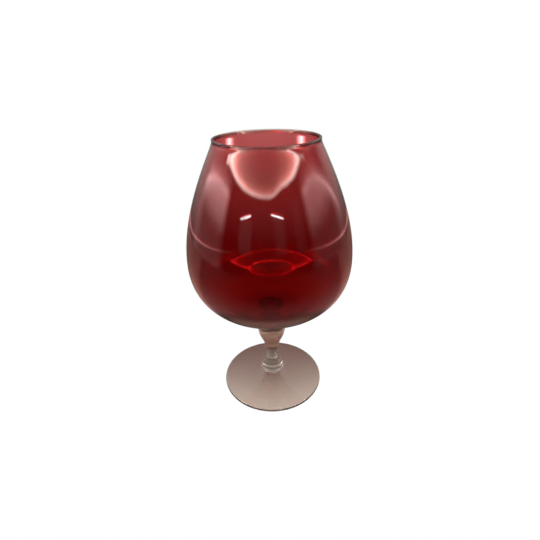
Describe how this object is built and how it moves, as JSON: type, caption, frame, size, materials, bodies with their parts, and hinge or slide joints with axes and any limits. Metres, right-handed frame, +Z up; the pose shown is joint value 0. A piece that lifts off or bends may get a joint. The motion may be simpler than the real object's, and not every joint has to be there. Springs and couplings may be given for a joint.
{
  "type": "brandy snifter",
  "caption": "Oversized ruby glass brandy snifter with a clear lip, a clear baluster stem with a low knop, and a round clear foot.",
  "frame": {"origin": "centre of the foot, on the plane that it stands on", "axes": "+Z up the turning axis of the glass towards its mouth; X and Y are interchangeable"},
  "size_m": [0.1478, 0.1478, 0.25],
  "materials": {
    "ruby_glass": "fire-polished, transparent ruby",
    "clear_lip_glass": "fire-polished, clear",
    "clear_stem_glass": "hot-worked, clear with a faint warm tint",
    "clear_foot_glass": "hot-worked, clear with a faint warm tint"
  },
  "bodies": {
    "root": {"bowl": "ruby_glass", "lip": "clear_lip_glass", "stem_upper": "clear_stem_glass", "stem_knop": "clear_stem_glass", "foot": "clear_foot_glass"}
  },
  "joints": []
}
